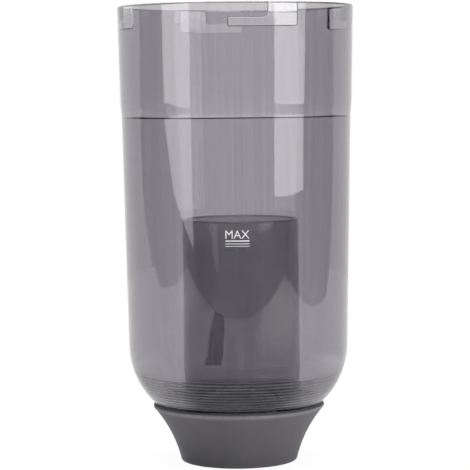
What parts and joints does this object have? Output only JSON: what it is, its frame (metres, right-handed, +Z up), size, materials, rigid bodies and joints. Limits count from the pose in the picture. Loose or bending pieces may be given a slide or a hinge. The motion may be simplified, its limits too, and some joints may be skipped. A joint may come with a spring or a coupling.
{
  "type": "cyclone dust bin",
  "caption": "Clear smoke-grey dust bin for a stick vacuum: a drafted cup with bayonet tracks inside its rim, a central inlet tube, ringed shoulder and opaque conical base with a wand socket.",
  "frame": {"origin": "centre of the base cone's flat foot, on the cup's axis", "axes": "+Z up along the cup's axis towards the open rim; the fill mark faces -Y"},
  "size_m": [0.1246, 0.1246, 0.2415],
  "materials": {
    "clear_smoke": "clear, smoke-grey, polished",
    "grey_satin": "satin dark grey",
    "pale_socket": "satin pale grey",
    "grey_rubber": "matt grey",
    "black_rubber": "matt black",
    "white_print": "printed ink"
  },
  "bodies": {
    "root": {"bin_cup": "clear_smoke", "base_cone": "grey_satin", "wand_socket": "pale_socket", "neck_seal": "black_rubber", "tube_gasket": "grey_rubber", "wand_seal": "grey_rubber"}
  },
  "joints": []
}
